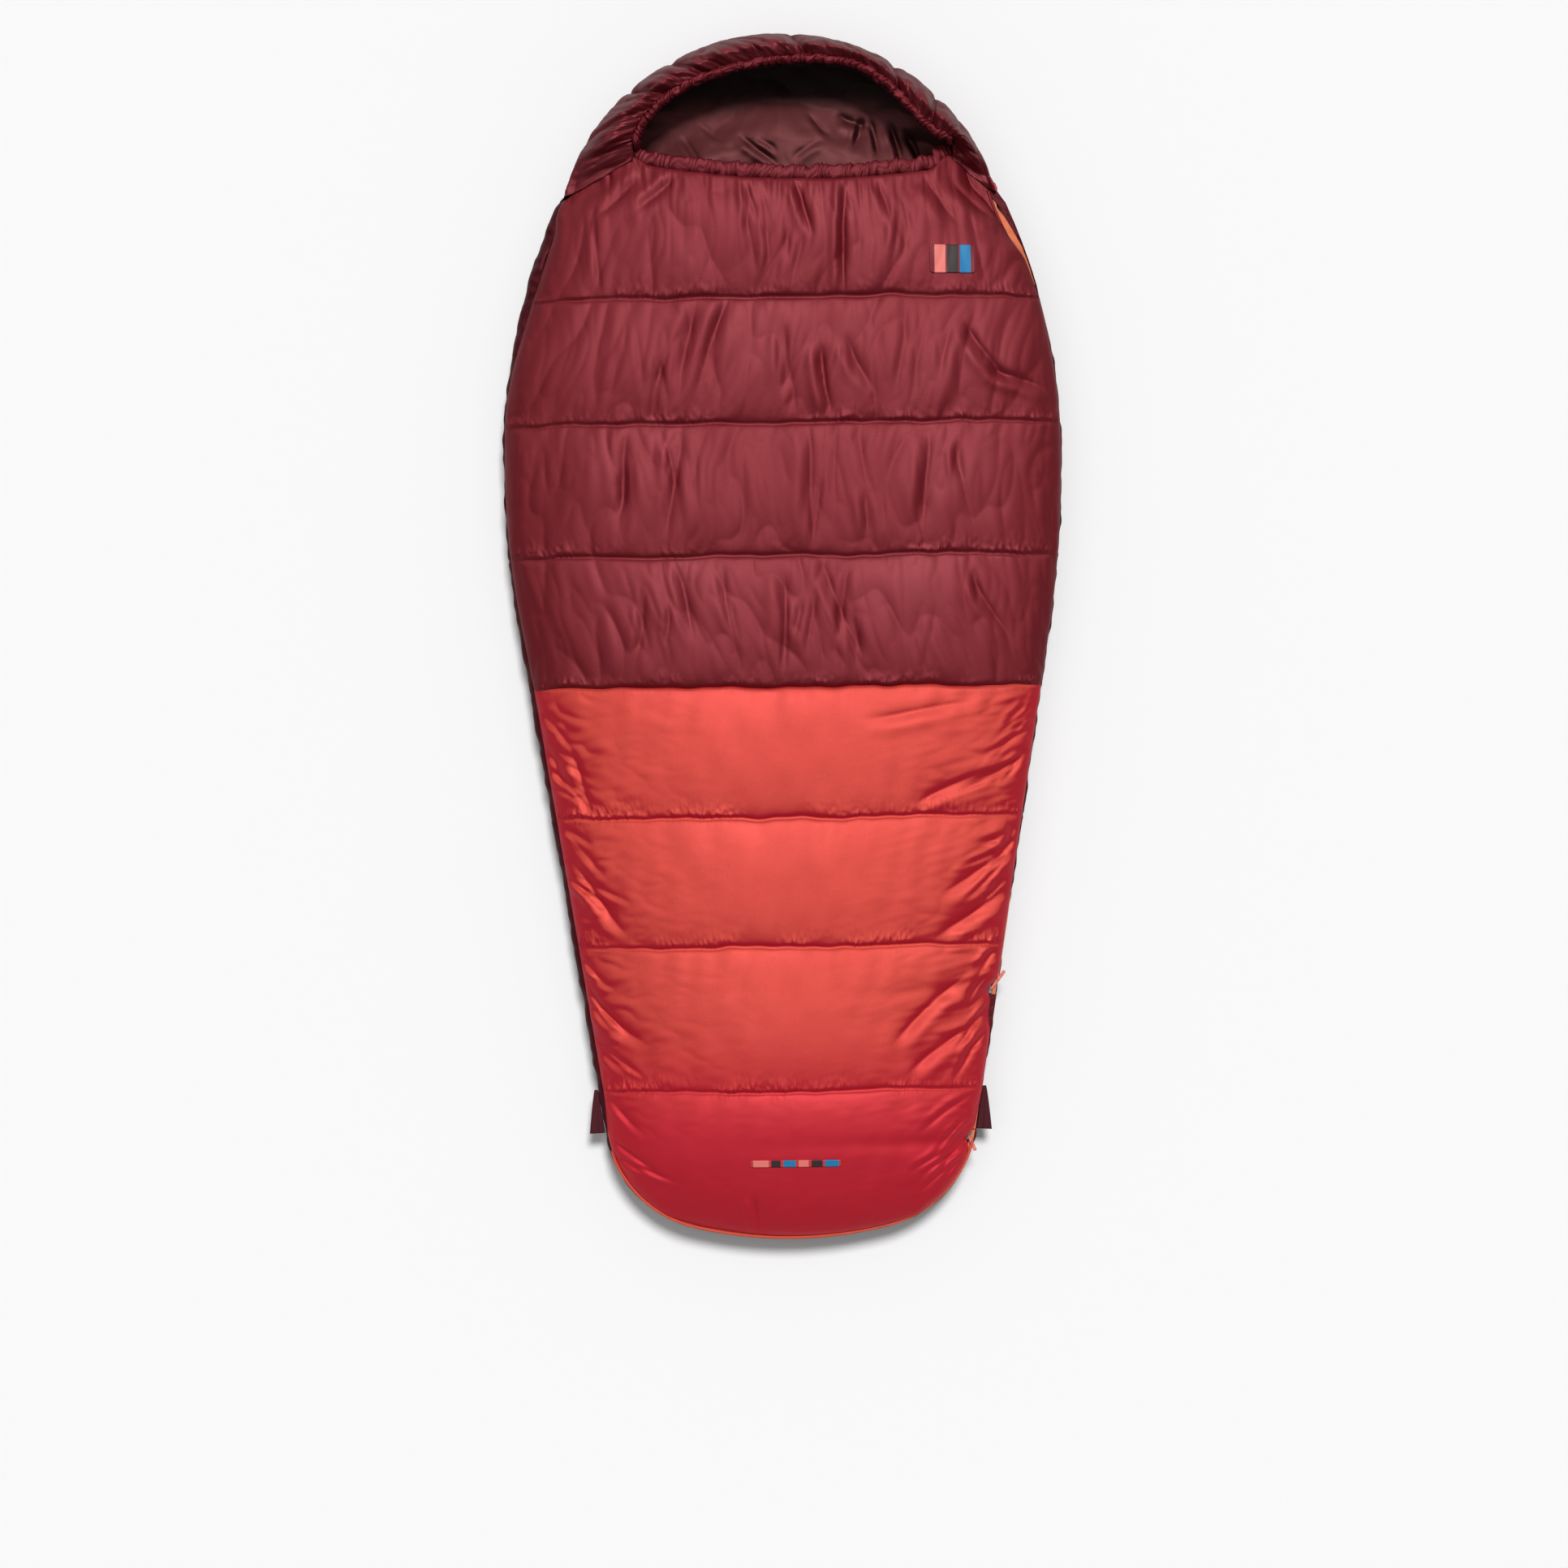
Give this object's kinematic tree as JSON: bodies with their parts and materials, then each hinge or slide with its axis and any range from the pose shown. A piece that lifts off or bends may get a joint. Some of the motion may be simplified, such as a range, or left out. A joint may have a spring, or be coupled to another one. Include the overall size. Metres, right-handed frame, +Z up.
{
  "type": "mummy sleeping bag",
  "caption": "Quilted mummy sleeping bag in two reds with an elastic hood, a side and foot zip, a quilt that folds open, moving sliders and pulls, and hang loops.",
  "frame": {"origin": "on the floor under the middle of the bag's box, as it lies on its back", "axes": "+Y towards the head end, +Z up, +X towards the zipped side"},
  "size_m": [0.742, 1.6, 0.1175],
  "materials": {
    "bordeaux": "woven polyester shell, bordeaux, satin",
    "coral_red": "woven polyester shell, red, satin",
    "wine_back": "woven polyester back shell, dark wine, satin",
    "wine_liner": "woven lining, dark wine, soft satin",
    "white_fill": "white synthetic batting",
    "orange_tape": "woven zip tape, orange",
    "wine_coil": "nylon zip coil",
    "metal": "cast zip metal, satin",
    "red_pull": "moulded pull, red",
    "coral_pull": "moulded cord pull, coral",
    "elastic": "braided elastic",
    "patch": "printed patch with plain stripes"
  },
  "bodies": {
    "back": {"back_shell": "wine_back", "back_fill": "white_fill", "back_liner": "wine_liner", "margin_fill": "white_fill", "margin_liner": "wine_liner", "margin_shell_upper": "bordeaux", "margin_shell_lower": "coral_red", "hood_fill": "white_fill", "hood_liner": "wine_liner", "hood_shell": "bordeaux", "hood_rim": "bordeaux", "hood_elastic": "elastic", "side_zip_tape_back": "orange_tape", "side_zip_coil_back": "wine_coil", "foot_zip_tape_back": "orange_tape", "foot_zip_coil_back": "wine_coil", "side_zip_top_stop": "metal", "foot_zip_end_stop": "metal"},
    "quilt": {"quilt_fill": "white_fill", "quilt_liner": "wine_liner", "quilt_shell_upper": "bordeaux", "quilt_shell_lower": "coral_red", "quilt_hem": "bordeaux", "hem_elastic": "elastic", "side_zip_tape_quilt": "orange_tape", "side_zip_coil_quilt": "wine_coil", "foot_zip_tape_quilt": "orange_tape", "foot_zip_coil_quilt": "wine_coil", "zip_draft_tube": "wine_liner", "chest_patch": "patch", "foot_label": "patch"},
    "top_slider": {"top_slider": "metal"},
    "top_pull": {"top_pull": "red_pull"},
    "low_slider": {"low_slider": "metal"},
    "low_pull": {"low_pull": "coral_pull"},
    "foot_slider": {"foot_slider": "metal"},
    "foot_pull": {"foot_pull": "coral_pull"},
    "hang_loop_right": {"hang_loop_right": "wine_back"},
    "hang_loop_left": {"hang_loop_left": "wine_back"}
  },
  "joints": [
    {"name": "quilt_open", "type": "hinge", "parent": "back", "child": "quilt", "pos_m": [-0.195, 0, 0.118], "axis": [0, -1, 0], "range_deg": [0, 175]},
    {"name": "top_slider_travel", "type": "hinge", "parent": "back", "child": "top_slider", "pos_m": [-0.444, 0.241, 0.05], "axis": [0, 0, 1], "range_deg": [-23.3, 0]},
    {"name": "top_pull_flip", "type": "hinge", "parent": "top_slider", "child": "top_pull", "pos_m": [0.29498, 0.56703, 0.0552], "axis": [1, 0, 0], "range_deg": [0, 100]},
    {"name": "low_slider_travel", "type": "slide", "parent": "back", "child": "low_slider", "axis": [0.1582, 0.9874, 0], "range_m": [0, 0.45]},
    {"name": "low_pull_flip", "type": "hinge", "parent": "low_slider", "child": "low_pull", "pos_m": [0.26901, -0.47055, 0.0552], "axis": [0.7976, -0.6032, 0], "range_deg": [0, 100]},
    {"name": "foot_slider_travel", "type": "hinge", "parent": "back", "child": "foot_slider", "pos_m": [0.0925, -0.6328, 0.05], "axis": [0, 0, 1], "range_deg": [-62, 0]},
    {"name": "foot_pull_flip", "type": "hinge", "parent": "foot_slider", "child": "foot_pull", "pos_m": [0.23705, -0.66771, 0.0552], "axis": [-0.9063, -0.4226, 0], "range_deg": [0, 100]},
    {"name": "right_loop_swing", "type": "hinge", "parent": "back", "child": "hang_loop_right", "pos_m": [0.25707, -0.6, 0.04475], "axis": [-0.1582, -0.9874, 0], "range_deg": [-80, 90]},
    {"name": "left_loop_swing", "type": "hinge", "parent": "back", "child": "hang_loop_left", "pos_m": [-0.25707, -0.6, 0.04475], "axis": [-0.1582, 0.9874, 0], "range_deg": [-80, 90]}
  ]
}
